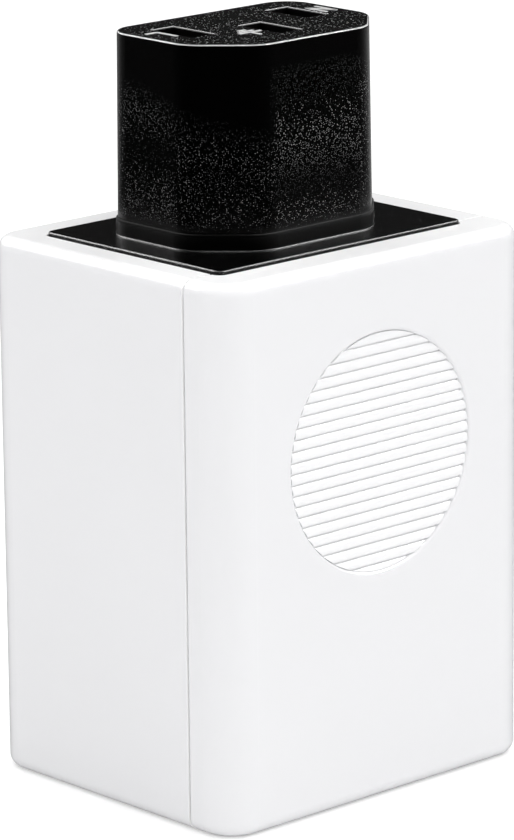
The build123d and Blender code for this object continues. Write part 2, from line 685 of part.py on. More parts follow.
pieces = {
    "front_shell": front_shell(),
    "rear_shell": rear_shell(),
    "outlet_body": outlet_body(),
    "outlet_cover": outlet_cover(),
    "inlet_body": inlet_body(),
    "circuit_board": circuit_board(),
    "live_bridge": bridge(LIVE_BRIDGE_Z),
    "neutral_bridge": bridge(NEUTRAL_BRIDGE_Z),
    "suppression_capacitor": suppression_capacitor(),
    "surge_varistor": surge_varistor(),
    "bleed_resistor": bleed_resistor(),
    "inlet_live_wire": power_wire("live", INLET_WIRE_Z),
    "inlet_neutral_wire": power_wire("neutral", INLET_WIRE_Z),
    "outlet_live_wire": power_wire("live", OUTLET_WIRE_Z),
    "outlet_neutral_wire": power_wire("neutral", OUTLET_WIRE_Z),
    "earth_wire": earth_wire(),
}
for pole, (pole_x, pole_y) in POLES.items():
    pieces["outlet_contact_" + pole] = outlet_contact(pole_x, pole_y)
    pieces["inlet_pin_" + pole] = inlet_pin(pole_x, pole_y)
for number, (can_x, can_z) in enumerate(CAN_PLACES, start=1):
    pieces["blocking_capacitor_" + str(number)] = blocking_capacitor(can_x, can_z)

for name, piece in pieces.items():
    export_step(piece, "parts/" + name + ".step")
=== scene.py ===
"""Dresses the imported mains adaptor: white case, black sockets, inner parts and a pale studio."""

import logging
import math
from dataclasses import dataclass
from enum import Enum

import bmesh
import bpy
from mathutils import Matrix, Vector


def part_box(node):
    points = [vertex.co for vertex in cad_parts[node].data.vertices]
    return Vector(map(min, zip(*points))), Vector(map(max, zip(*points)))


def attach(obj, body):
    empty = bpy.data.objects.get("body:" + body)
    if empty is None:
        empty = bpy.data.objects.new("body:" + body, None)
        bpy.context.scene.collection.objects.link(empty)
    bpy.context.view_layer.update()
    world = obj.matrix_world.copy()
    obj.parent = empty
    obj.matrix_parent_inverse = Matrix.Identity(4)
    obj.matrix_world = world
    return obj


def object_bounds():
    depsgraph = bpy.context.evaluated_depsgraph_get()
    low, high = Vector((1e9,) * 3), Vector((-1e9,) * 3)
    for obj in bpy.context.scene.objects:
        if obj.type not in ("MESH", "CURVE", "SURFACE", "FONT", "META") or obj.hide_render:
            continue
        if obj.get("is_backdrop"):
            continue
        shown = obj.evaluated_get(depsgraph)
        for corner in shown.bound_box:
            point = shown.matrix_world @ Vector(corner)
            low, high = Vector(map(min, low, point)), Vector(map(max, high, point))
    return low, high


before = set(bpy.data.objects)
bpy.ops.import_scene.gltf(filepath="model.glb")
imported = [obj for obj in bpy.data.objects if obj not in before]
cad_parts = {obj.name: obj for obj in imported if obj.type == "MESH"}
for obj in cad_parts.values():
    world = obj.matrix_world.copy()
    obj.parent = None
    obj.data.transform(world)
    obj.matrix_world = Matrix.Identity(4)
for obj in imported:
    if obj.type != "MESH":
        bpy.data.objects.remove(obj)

logging.basicConfig(level=logging.INFO, format="%(message)s")
log = logging.getLogger("adaptor")

Color = tuple[float, float, float]
Place = tuple[float, float]
Value = float | tuple[float, ...] | bpy.types.NodeSocket
MM = 0.001
# A length beyond the reach of the adaptor, in metres.
FAR = 1.0
WHITE: Color = (1.0, 1.0, 1.0)
# Where a colour mix has its share, its two colours and its result.
MIX_SHARE, MIX_FIRST, MIX_SECOND, MIX_RESULT = 0, 6, 7, 2


class Pole(Enum):
    """The three poles of the mains, by the words that end the names of their nodes."""

    LIVE = "live"
    NEUTRAL = "neutral"
    EARTH = "earth"


class Light(Enum):
    """What a studio light is there for: shading the matt surfaces or showing in the shiny ones."""

    FILL = "fill"
    GLEAM = "gleam"


class NodeSheet:
    """A node tree with short calls for the nodes that the finishes use."""

    def __init__(self, tree: bpy.types.NodeTree) -> None:
        """Takes hold of a node tree.

        Args:
            tree: The tree that new nodes go into.
        """
        self.tree = tree

    def add(self, kind: str, **settings: object) -> bpy.types.Node:
        """Adds a node.

        Args:
            kind: The node's type.
            settings: Properties of the node, by name.

        Returns:
            The new node.
        """
        node = self.tree.nodes.new(kind)
        for name, value in settings.items():
            setattr(node, name, value)
        return node

    def join(self, source: bpy.types.NodeSocket, target: bpy.types.NodeSocket) -> None:
        """Links an output to an input."""
        self.tree.links.new(source, target)

    def feed(self, target: bpy.types.NodeSocket, value: Value) -> None:
        """Gives an input a constant, or links an output to it.

        Args:
            target: The input.
            value: A number, a colour or an output socket.
        """
        if isinstance(value, bpy.types.NodeSocket):
            self.join(value, target)
        else:
            target.default_value = value

    def math(self, operation: str, *values: Value, clamp: bool = False) -> bpy.types.NodeSocket:
        """Adds a Math node.

        Args:
            operation: The node's operation.
            values: Its inputs in order, as numbers or output sockets.
            clamp: Whether the result is kept between 0 and 1.

        Returns:
            The node's output.
        """
        node = self.add("ShaderNodeMath", operation=operation, use_clamp=clamp)
        for socket, value in zip(node.inputs, values):
            self.feed(socket, value)
        return node.outputs[0]

    def ramp(
        self, value: Value, low: float, high: float, start: float, end: float
    ) -> bpy.types.NodeSocket:
        """Maps a range smoothly onto another.

        Args:
            value: The number to map.
            low: The value that gives start.
            high: The value that gives end.
            start: The result at and below low.
            end: The result at and above high.

        Returns:
            The mapped value.
        """
        node = self.add("ShaderNodeMapRange", interpolation_type="SMOOTHSTEP")
        for name, given in (
            ("Value", value),
            ("From Min", low),
            ("From Max", high),
            ("To Min", start),
            ("To Max", end),
        ):
            self.feed(node.inputs[name], given)
        return node.outputs["Result"]

    def noise(self, vector: bpy.types.NodeSocket, scale: Value, detail: float) -> bpy.types.NodeSocket:
        """Adds a noise texture.

        Args:
            vector: The coordinates.
            scale: Bumps for each metre.
            detail: How many finer layers it has.

        Returns:
            The noise, about 0.5.
        """
        node = self.add("ShaderNodeTexNoise")
        self.feed(node.inputs["Vector"], vector)
        self.feed(node.inputs["Scale"], scale)
        self.feed(node.inputs["Detail"], detail)
        return node.outputs["Fac"]

    def blend(self, share: Value, first: Value, second: Value, kind: str = "MIX") -> bpy.types.NodeSocket:
        """Mixes two colours.

        Args:
            share: How much of the second colour shows.
            first: The colour at 0.
            second: The colour at 1.
            kind: How the two are mixed.

        Returns:
            The mixed colour.
        """
        node = self.add("ShaderNodeMix", data_type="RGBA", blend_type=kind)
        for place, value in ((MIX_SHARE, share), (MIX_FIRST, first), (MIX_SECOND, second)):
            self.feed(node.inputs[place], value)
        return node.outputs[MIX_RESULT]

    def gain(self, mask: bpy.types.NodeSocket, inside: float) -> bpy.types.NodeSocket:
        """Gives a factor that is 1 outside a mask and another number inside it."""
        return self.math("MULTIPLY_ADD", mask, inside - 1.0, 1.0)

    def mix_shaders(self, *parts: bpy.types.NodeSocket) -> bpy.types.NodeSocket:
        """Mixes two shaders.

        Args:
            parts: The second shader's share, the first shader and the second.

        Returns:
            The mixed shader.
        """
        node = self.add("ShaderNodeMixShader")
        for target, source in zip(node.inputs, parts):
            self.join(source, target)
        return node.outputs["Shader"]


def opaque(color: Color) -> tuple[float, float, float, float]:
    """Gives a colour its full opacity."""
    return (*color, 1.0)


def put_in_scene(name: str, data: bpy.types.ID) -> bpy.types.Object:
    """Makes an object and links it to the scene.

    Args:
        name: The object's name.
        data: Its mesh, light or camera.

    Returns:
        The object.
    """
    made = bpy.data.objects.new(name, data)
    bpy.context.scene.collection.objects.link(made)
    return made


def finish_mesh(name: str, mesh: bmesh.types.BMesh) -> bpy.types.Object:
    """Turns a mesh under construction into an object in the scene.

    Args:
        name: The name of the object and its mesh.
        mesh: The mesh, which is freed.

    Returns:
        The object.
    """
    data = bpy.data.meshes.new(name)
    mesh.to_mesh(data)
    mesh.free()
    return put_in_scene(name, data)


def new_effect(
    name: str, inputs: dict[str, float], outputs: tuple[str, ...]
) -> tuple[NodeSheet, bpy.types.Node, bpy.types.Node]:
    """Starts a shader node group.

    Args:
        name: The group's name.
        inputs: Its number inputs with their usual values, after the Vector input.
        outputs: The names of its number outputs.

    Returns:
        The group's sheet, its input node and its output node.
    """
    tree = bpy.data.node_groups.new(name, "ShaderNodeTree")
    tree.interface.new_socket("Vector", in_out="INPUT", socket_type="NodeSocketVector")
    for title, value in inputs.items():
        socket = tree.interface.new_socket(title, in_out="INPUT", socket_type="NodeSocketFloat")
        socket.default_value = value
    for title in outputs:
        tree.interface.new_socket(title, in_out="OUTPUT", socket_type="NodeSocketFloat")
    sheet = NodeSheet(tree)
    return sheet, sheet.add("NodeGroupInput"), sheet.add("NodeGroupOutput")


@dataclass
class Effects:
    """The surface effects that more than one finish uses, each built once as a node group.

    Shares are of the group's own Scale. Details count a noise's finer layers.
    """

    noise_mean: float = 0.5
    fine_detail: float = 2.0
    broad_share: float = 0.12
    broad_detail: float = 1.0
    grain_share: float = 0.45
    grain_detail: float = 2.0
    pit_height: float = 0.6
    glint_power: float = 3.5
    core_start: float = 0.15
    core_end: float = 0.55
    mark_stretch: tuple[float, float, float] = (1.0, 1.0, 0.18)
    mark_detail: float = 6.0
    mark_start: float = 0.6
    mark_full: float = 0.78

    def __post_init__(self) -> None:
        """Builds the groups."""
        self.mottle = self._mottle()
        self.spark = self._spark()
        self.band = self._band()
        self.scuff = self._scuff()

    def _mottle(self) -> bpy.types.NodeTree:
        """Builds the soft unevenness of moulded or coated surfaces.

        Returns:
            A group with Height, Tone near 1 and Gloss near 1.
        """
        sheet, given, made = new_effect(
            "soft_mottle", {"Scale": 300.0, "Tone": 0.03, "Gloss": 0.15}, ("Height", "Tone", "Gloss")
        )
        point = given.outputs["Vector"]
        scale = given.outputs["Scale"]
        fine = sheet.noise(point, scale, self.fine_detail)
        broad = sheet.noise(point, sheet.math("MULTIPLY", scale, self.broad_share), self.broad_detail)
        for title, noise in (("Tone", broad), ("Gloss", fine)):
            offset = sheet.math("SUBTRACT", noise, self.noise_mean)
            swing = sheet.math("MULTIPLY", offset, given.outputs[title])
            sheet.join(sheet.math("ADD", swing, 1.0), made.inputs[title])
        sheet.join(fine, made.inputs["Height"])
        return sheet.tree

    def _spark(self) -> bpy.types.NodeTree:
        """Builds the pitted texture of a spark-eroded mould.

        Returns:
            A group with the pits' Height and Fleck, which marks the few facets that get a painted glint.
        """
        sheet, given, made = new_effect(
            "spark_texture", {"Scale": 6000.0, "Share": 0.3}, ("Height", "Fleck")
        )
        point = given.outputs["Vector"]
        scale = given.outputs["Scale"]
        cells = sheet.add("ShaderNodeTexVoronoi", feature="F1")
        sheet.join(point, cells.inputs["Vector"])
        sheet.join(scale, cells.inputs["Scale"])
        grain = sheet.noise(point, sheet.math("MULTIPLY", scale, self.grain_share), self.grain_detail)
        pits = sheet.math("MULTIPLY", cells.outputs["Distance"], self.pit_height)
        shade = sheet.add("ShaderNodeSeparateColor")
        sheet.join(cells.outputs["Color"], shade.inputs["Color"])
        chosen = sheet.math("LESS_THAN", shade.outputs["Red"], given.outputs["Share"])
        painted_light = sheet.math("POWER", shade.outputs["Green"], self.glint_power)
        core = sheet.ramp(cells.outputs["Distance"], self.core_start, self.core_end, 1.0, 0.0)
        painted_glint = sheet.math("MULTIPLY", sheet.math("MULTIPLY", chosen, painted_light), core)
        sheet.join(sheet.math("ADD", pits, grain), made.inputs["Height"])
        sheet.join(painted_glint, made.inputs["Fleck"])
        return sheet.tree

    @staticmethod
    def _band() -> bpy.types.NodeTree:
        """Builds a mask for what lies between two heights, left of a limit and near an axis.

        Returns:
            A group with Mask, which is 1 between Low and High where X is below Until and the point
            lies within Half X and Half Y of the upright axis at Middle X and Middle Y.
        """
        sheet, given, made = new_effect(
            "height_band",
            {
                "Low": 0.0,
                "High": FAR,
                "Rise": MM,
                "Fall": MM,
                "Tilt": 0.0,
                "Until": FAR,
                "Edge": MM,
                "Middle X": 0.0,
                "Middle Y": 0.0,
                "Half X": FAR,
                "Half Y": FAR,
            },
            ("Mask",),
        )
        parts = sheet.add("ShaderNodeSeparateXYZ")
        sheet.join(given.outputs["Vector"], parts.inputs["Vector"])
        height = parts.outputs["Z"]
        low = sheet.math("MULTIPLY_ADD", parts.outputs["Y"], given.outputs["Tilt"], given.outputs["Low"])
        beside = sheet.math("SUBTRACT", parts.outputs["X"], given.outputs["Until"])
        past = sheet.math("DIVIDE", beside, given.outputs["Edge"], clamp=True)
        below = sheet.math("SUBTRACT", low, height)
        above = sheet.math("SUBTRACT", height, given.outputs["High"])
        short = sheet.math("DIVIDE", below, given.outputs["Rise"], clamp=True)
        over = sheet.math("DIVIDE", above, given.outputs["Fall"], clamp=True)
        outside = sheet.math("MAXIMUM", sheet.math("MAXIMUM", short, over), past)
        mask = sheet.math("SUBTRACT", 1.0, outside)
        for axis in ("X", "Y"):
            gap = sheet.math("SUBTRACT", parts.outputs[axis], given.outputs["Middle " + axis])
            near = sheet.math("LESS_THAN", sheet.math("ABSOLUTE", gap), given.outputs["Half " + axis])
            mask = sheet.math("MULTIPLY", mask, near)
        sheet.join(mask, made.inputs["Mask"])
        return sheet.tree

    def _scuff(self) -> bpy.types.NodeTree:
        """Builds the fine rubbing marks that a handled surface picks up.

        Returns:
            A group with Mask, which is 1 in the middle of a mark.
        """
        sheet, given, made = new_effect("handling_marks", {"Scale": 90.0, "Amount": 0.5}, ("Mask",))
        stretch = sheet.add("ShaderNodeMapping")
        stretch.inputs["Scale"].default_value = self.mark_stretch
        sheet.join(given.outputs["Vector"], stretch.inputs["Vector"])
        streaks = sheet.noise(stretch.outputs["Vector"], given.outputs["Scale"], self.mark_detail)
        mask = sheet.ramp(streaks, self.mark_start, self.mark_full, 0.0, 1.0)
        sheet.join(sheet.math("MULTIPLY", mask, given.outputs["Amount"]), made.inputs["Mask"])
        return sheet.tree


class Surface:
    """A material with one Principled shader, being put together."""

    def __init__(self, name: str, metallic: float = 0.0, specular: float = 0.5) -> None:
        """Starts a material.

        Args:
            name: The material's name.
            metallic: 1 for bare metal and 0 for anything else.
            specular: The shader's specular level, the same all over.
        """
        self.material = bpy.data.materials.new(name)
        self.material.use_nodes = True
        self.sheet = NodeSheet(self.material.node_tree)
        self.shader = self.material.node_tree.nodes["Principled BSDF"]
        self.shader.inputs["Metallic"].default_value = metallic
        self.shader.inputs["Specular IOR Level"].default_value = specular
        self.point = self.sheet.add("ShaderNodeTexCoord").outputs["Object"]

    def effect(self, group: bpy.types.NodeTree, **values: Value) -> bpy.types.Node:
        """Places a group in the material.

        Args:
            group: One of the shared effects.
            values: Its inputs by name.

        Returns:
            The group's node.
        """
        node = self.sheet.add("ShaderNodeGroup", node_tree=group)
        self.sheet.join(self.point, node.inputs["Vector"])
        for name, value in values.items():
            self.sheet.feed(node.inputs[name], value)
        return node

    def tint(self, color: Value, tone: Value) -> bpy.types.NodeSocket:
        """Brightens or darkens a colour.

        Args:
            color: The colour.
            tone: What it is multiplied by.

        Returns:
            The new colour.
        """
        gray = self.sheet.add("ShaderNodeCombineColor")
        for socket in gray.inputs:
            self.sheet.feed(socket, tone)
        return self.sheet.blend(1.0, color, gray.outputs["Color"], kind="MULTIPLY")

    def bump(self, height: bpy.types.NodeSocket, depth: float) -> None:
        """Gives the shader a bumped normal.

        Args:
            height: The height, from 0 to 1.
            depth: How high 1 stands, in metres.
        """
        node = self.sheet.add("ShaderNodeBump")
        node.inputs["Distance"].default_value = depth
        self.sheet.join(height, node.inputs["Height"])
        self.sheet.join(node.outputs["Normal"], self.shader.inputs["Normal"])

    def set(self, **values: Value) -> None:
        """Feeds inputs of the shader, named with underscores for spaces.

        Args:
            values: Constants or output sockets.
        """
        for name, value in values.items():
            self.sheet.feed(self.shader.inputs[name.replace("_", " ")], value)


@dataclass(frozen=True)
class CaseWhite:
    """Polished white moulded plastic, with a faint orange peel and a few rubbing marks.

    Light is painted into its colour: it is lighter on the case's top, in the seam and on the medallion's
    ribs.
    """

    top: float
    seam: float
    front: float
    medallion: Place
    medallion_radius: float
    name: str = "case_white"
    color: Color = (0.86, 0.86, 0.875)
    rubbed: Color = (0.8, 0.8, 0.815)
    # Painted light: the colour of the case's top, seam and ribs, standing in for how light falls there.
    painted_light: Color = (0.98, 0.98, 0.985)
    top_depth: float = 0.5 * MM
    seam_half: float = 0.15 * MM
    rim_fade: float = 0.1 * MM
    medallion_share: float = 0.55
    relief: float = 1.0 * MM
    roughness: float = 0.24
    peel_scale: float = 420.0
    peel_tone: float = 0.02
    peel_gloss: float = 0.3
    peel_depth: float = 0.004 * MM
    rub_scale: float = 60.0
    rub_amount: float = 0.25
    rub_dulling: float = 0.2

    def build(self, effects: Effects) -> bpy.types.Material:
        """Builds the material.

        Args:
            effects: The shared effects.

        Returns:
            The material.
        """
        surface = Surface(self.name)
        mottle = surface.effect(
            effects.mottle, Scale=self.peel_scale, Tone=self.peel_tone, Gloss=self.peel_gloss
        )
        scuff = surface.effect(effects.scuff, Scale=self.rub_scale, Amount=self.rub_amount)
        rubbed = surface.sheet.blend(scuff.outputs["Mask"], opaque(self.color), opaque(self.rubbed))
        # Blends the painted light over the case's colour.
        color = surface.sheet.blend(self.painted_light_places(surface, effects), rubbed, opaque(self.painted_light))
        gloss = surface.sheet.math("MULTIPLY", mottle.outputs["Gloss"], self.roughness)
        surface.set(
            Base_Color=surface.tint(color, mottle.outputs["Tone"]),
            Roughness=surface.sheet.math("MULTIPLY_ADD", scuff.outputs["Mask"], self.rub_dulling, gloss),
        )
        surface.bump(mottle.outputs["Height"], self.peel_depth)
        return surface.material

    def painted_light_places(self, surface: Surface, effects: Effects) -> bpy.types.NodeSocket:
        """Marks where light is painted: the case's top, the seam, whose shade is painted lighter, and the
        medallion's ribs.

        Args:
            surface: The material being put together.
            effects: The shared effects.

        Returns:
            A mask that is 1 in those places.
        """
        sheet = surface.sheet
        top = surface.effect(effects.band, Low=self.top, High=FAR, Rise=self.top_depth)
        seam = surface.effect(effects.band, Low=-FAR, High=FAR)
        seam.inputs["Middle Y"].default_value = self.seam
        seam.inputs["Half Y"].default_value = self.seam_half
        parts = sheet.add("ShaderNodeSeparateXYZ")
        sheet.join(surface.point, parts.inputs["Vector"])
        across = sheet.math("SUBTRACT", parts.outputs["X"], self.medallion[0])
        above = sheet.math("SUBTRACT", parts.outputs["Z"], self.medallion[1])
        square = sheet.math("MULTIPLY_ADD", above, above, sheet.math("MULTIPLY", across, across))
        reach = sheet.math("SQRT", square)
        outer = self.medallion_radius + self.rim_fade
        disc = sheet.ramp(reach, self.medallion_radius, outer, self.medallion_share, 0.0)
        facing = sheet.math("LESS_THAN", parts.outputs["Y"], self.front + self.relief)
        medallion = sheet.math("MULTIPLY", disc, facing)
        edges = sheet.math("MAXIMUM", top.outputs["Mask"], seam.outputs["Mask"])
        return sheet.math("MAXIMUM", edges, medallion)


@dataclass(frozen=True)
class Gains:
    """How a zone of a spark texture compares with the rest of it.

    Painted glints, roughness and the grain's scale are multiplied. The painted highlight adds to the share
    of the light colour, for a highlight painted along an edge.
    """

    painted_glints: float = 1.0
    rough: float = 1.0
    grain: float = 1.0
    painted_highlight: float = 0.0


@dataclass(frozen=True)
class Zone:
    """Where a spark texture is unlike elsewhere: a band of heights, left of a limit, near an axis.

    The band starts over its rise and ends over its fall, and its foot climbs rearwards by its tilt.
    """

    low: float
    high: float
    gains: Gains
    rise: float = 0.1 * MM
    fall: float = 0.1 * MM
    tilt: float = 0.0
    until: float = FAR
    middle: Place = (0.0, 0.0)
    half: Place = (FAR, FAR)

    def mask(self, surface: Surface, effects: Effects) -> bpy.types.NodeSocket:
        """Marks the zone in a material.

        Args:
            surface: The material being put together.
            effects: The shared effects.

        Returns:
            A mask that is 1 in the zone.
        """
        band = surface.effect(
            effects.band,
            Low=self.low,
            High=self.high,
            Rise=self.rise,
            Fall=self.fall,
            Tilt=self.tilt,
            Until=self.until,
        )
        for axis, middle, half in zip("XY", self.middle, self.half):
            band.inputs["Middle " + axis].default_value = middle
            band.inputs["Half " + axis].default_value = half
        return band.outputs["Mask"]


@dataclass(frozen=True)
class SocketBlack:
    """Black moulded plastic with a spark texture whose glints are painted as light flecks in its colour,
    with zones that differ.
    """

    name: str
    zones: tuple[Zone, ...]
    color: Color = (0.0003, 0.0003, 0.0003)
    # Painted glint: the light colour of the flecks, standing in for the facets' glints.
    painted_glint: Color = (0.52, 0.52, 0.522)
    specular: float = 0.15
    roughness: float = 0.25
    grain_scale: float = 11000.0
    grain_depth: float = 0.01 * MM
    ripple_scale: float = 5600.0
    ripple: float = 0.9
    ripple_tone: float = 0.3
    ripple_gloss: float = 0.3
    glint_share: float = 0.4

    def build(self, effects: Effects) -> bpy.types.Material:
        """Builds the material.

        Args:
            effects: The shared effects.

        Returns:
            The material.
        """
        surface = Surface(self.name, specular=self.specular)
        sheet = surface.sheet
        mottle = surface.effect(
            effects.mottle, Scale=self.ripple_scale, Tone=self.ripple_tone, Gloss=self.ripple_gloss
        )
        painted_glints = 1.0
        edge_highlight = 0.0
        gloss = sheet.math("MULTIPLY", mottle.outputs["Gloss"], self.roughness)
        scale = self.grain_scale
        for zone in self.zones:
            mask = zone.mask(surface, effects)
            gains = zone.gains
            painted_glints = sheet.math("MULTIPLY", painted_glints, sheet.gain(mask, gains.painted_glints))
            # Each zone's painted highlight adds to the light colour's share.
            edge_highlight = sheet.math("MULTIPLY_ADD", mask, gains.painted_highlight, edge_highlight)
            gloss = sheet.math("MULTIPLY", gloss, sheet.gain(mask, gains.rough), clamp=True)
            scale = sheet.math("MULTIPLY", scale, sheet.gain(mask, gains.grain))
        spark = surface.effect(effects.spark, Scale=scale, Share=self.glint_share)
        share = sheet.math("MULTIPLY_ADD", spark.outputs["Fleck"], painted_glints, edge_highlight, clamp=True)
        color = sheet.blend(share, opaque(self.color), opaque(self.painted_glint))
        surface.set(
            Base_Color=surface.tint(color, mottle.outputs["Tone"]),
            Roughness=gloss,
        )
        height = sheet.math("MULTIPLY_ADD", mottle.outputs["Height"], self.ripple, spark.outputs["Height"])
        surface.bump(height, self.grain_depth)
        return surface.material


@dataclass(frozen=True)
class Metal:
    """Bare or plated metal, finely uneven and with a few stains."""

    name: str
    color: Color
    stain: Color
    roughness: float
    grain_scale: float = 900.0
    grain_tone: float = 0.12
    grain_gloss: float = 0.5
    grain_depth: float = 0.003 * MM
    stain_scale: float = 1400.0
    stain_amount: float = 0.6
    stain_dulling: float = 0.2

    def build(self, effects: Effects) -> bpy.types.Material:
        """Builds the material.

        Args:
            effects: The shared effects.

        Returns:
            The material.
        """
        surface = Surface(self.name, metallic=1.0)
        mottle = surface.effect(
            effects.mottle, Scale=self.grain_scale, Tone=self.grain_tone, Gloss=self.grain_gloss
        )
        scuff = surface.effect(effects.scuff, Scale=self.stain_scale, Amount=self.stain_amount)
        stained = surface.sheet.blend(scuff.outputs["Mask"], opaque(self.color), opaque(self.stain))
        gloss = surface.sheet.math("MULTIPLY", mottle.outputs["Gloss"], self.roughness)
        surface.set(
            Base_Color=surface.tint(stained, mottle.outputs["Tone"]),
            Roughness=surface.sheet.math(
                "MULTIPLY_ADD", scuff.outputs["Mask"], self.stain_dulling, gloss
            ),
        )
        surface.bump(mottle.outputs["Height"], self.grain_depth)
        return surface.material


@dataclass(frozen=True)
class Coated:
    """A plain coated, moulded or sleeved surface of an electronic part or a wire."""

    name: str
    color: Color
    roughness: float
    scale: float = 700.0
    tone: float = 0.15
    gloss: float = 0.4
    depth: float = 0.01 * MM

    def build(self, effects: Effects) -> bpy.types.Material:
        """Builds the material.

        Args:
            effects: The shared effects.

        Returns:
            The material.
        """
        surface = Surface(self.name)
        mottle = surface.effect(effects.mottle, Scale=self.scale, Tone=self.tone, Gloss=self.gloss)
        surface.set(
            Base_Color=surface.tint(opaque(self.color), mottle.outputs["Tone"]),
            Roughness=surface.sheet.math("MULTIPLY", mottle.outputs["Gloss"], self.roughness),
        )
        surface.bump(mottle.outputs["Height"], self.depth)
        return surface.material


Finish = CaseWhite | SocketBlack | Metal | Coated


class Workshop:
    """Holds the finished materials and dresses objects with them."""

    def __init__(self, effects: Effects) -> None:
        """Starts with no materials.

        Args:
            effects: The shared effects.
        """
        self.effects = effects
        self.materials: dict[str, bpy.types.Material] = {}

    def dress(self, piece: bpy.types.Object, finish: Finish) -> None:
        """Gives an object a finish, building its material the first time.

        Args:
            piece: The object.
            finish: The finish.
        """
        if finish.name not in self.materials:
            self.materials[finish.name] = finish.build(self.effects)
        piece.data.materials.clear()
        piece.data.materials.append(self.materials[finish.name])
        log.info("%s: %s", piece.name, finish.name)

    def dress_node(self, node: str, finish: Finish) -> None:
        """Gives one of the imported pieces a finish.

        Args:
            node: The node's name.
            finish: The finish.
        """
        self.dress(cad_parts[node], finish)


@dataclass
class CaseShells:
    """The white case: front lid with the medallion, and the deep rear shell."""

    front: str = "front_shell"
    rear: str = "rear_shell"
    medallion: Place = (0.0, 32.5 * MM)
    medallion_radius: float = 10.9 * MM
    seam_reach: float = 0.13 * MM

    def dress(self, shop: Workshop) -> None:
        """Dresses both shells in white.

        Args:
            shop: Holds the materials.
        """
        rear_low, rear_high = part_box(self.rear)
        finish = CaseWhite(
            top=rear_high.z,
            seam=rear_low.y - self.seam_reach,
            front=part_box(self.front)[0].y,
            medallion=self.medallion,
            medallion_radius=self.medallion_radius,
        )
        for node in (self.front, self.rear):
            shop.dress_node(node, finish)


@dataclass
class PoleMarks:
    """The moulded signs beside the outlet's slots: L, N and the earth sign."""

    face_z: float
    axis: Vector
    stroke: float = 0.32 * MM
    proud: float = 0.03 * MM
    sunk: float = 0.1 * MM
    edge: float = 0.02 * MM
    level: float = edge / 10
    live_place: Place = (-9.36 * MM, 2.17 * MM)
    neutral_place: Place = (9.68 * MM, 1.6 * MM)
    earth_place: Place = (-2.92 * MM, -2.47 * MM)
    letter_height: float = 2.5 * MM
    letter_width: float = 1.2 * MM
    earth_width: float = 2.3 * MM
    earth_shares: tuple[float, ...] = (1.0, 0.62, 0.25)
    earth_step: float = 0.45

    def strokes(self, pole: Pole) -> list[tuple[Place, Place]]:
        """Gives a sign's strokes in its own upright frame.

        Args:
            pole: The pole whose sign it is.

        Returns:
            Pairs of end points, in metres, about the sign's middle.
        """
        tall = self.letter_height / 2
        wide = self.letter_width / 2
        if pole is Pole.LIVE:
            return [((-wide, tall), (-wide, -tall)), ((-wide, -tall), (wide, -tall))]
        if pole is Pole.NEUTRAL:
            return [
                ((-wide, -tall), (-wide, tall)),
                ((-wide, tall), (wide, -tall)),
                ((wide, -tall), (wide, tall)),
            ]
        bars = [((0.0, tall), (0.0, 0.0))]
        for index, share in enumerate(self.earth_shares):
            drop = -index * tall * self.earth_step
            half = self.earth_width / 2 * share
            bars.append(((-half, drop), (half, drop)))
        return bars

    def add_stroke(self, mesh: bmesh.types.BMesh, start: Vector, end: Vector) -> None:
        """Adds one raised bar with softened edges.

        Args:
            mesh: The mesh it goes into.
            start: One end, on the socket's face.
            end: The other end.
        """
        along = end - start
        height = self.proud + self.sunk
        turn = Matrix.Rotation(math.atan2(along.y, along.x), 4, "Z")
        size = Matrix.Diagonal((along.length + self.stroke, self.stroke, height, 1.0))
        middle = (start + end) / 2 + Vector((0.0, 0.0, (self.proud - self.sunk) / 2))
        made = bmesh.ops.create_cube(mesh, size=1.0, matrix=Matrix.Translation(middle) @ turn @ size)
        top = self.face_z + self.proud
        rims = {
            edge
            for vert in made["verts"]
            for edge in vert.link_edges
            if all(abs(corner.co.z - top) < self.level for corner in edge.verts)
        }
        bmesh.ops.bevel(
            mesh, geom=list(rims), offset=self.edge, segments=2, profile=0.5, material=-1, affect="EDGES"
        )

    def build(self, shop: Workshop, finish: SocketBlack) -> None:
        """Builds the three signs, turned to be read from the rear, and dresses them.

        Args:
            shop: Holds the materials.
            finish: The signs' light grey finish, a painted glint.
        """
        places = {
            Pole.LIVE: self.live_place,
            Pole.NEUTRAL: self.neutral_place,
            Pole.EARTH: self.earth_place,
        }
        for pole, (x, y) in places.items():
            mesh = bmesh.new()
            middle = Vector((self.axis.x + x, self.axis.y + y, self.face_z))
            for start, end in self.strokes(pole):
                ends = [middle - Vector((*point, 0.0)) for point in (start, end)]
                self.add_stroke(mesh, *ends)
            bmesh.ops.recalc_face_normals(mesh, faces=mesh.faces)
            piece = finish_mesh("mark_" + pole.value, mesh)
            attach(piece, "root")
            shop.dress(piece, finish)


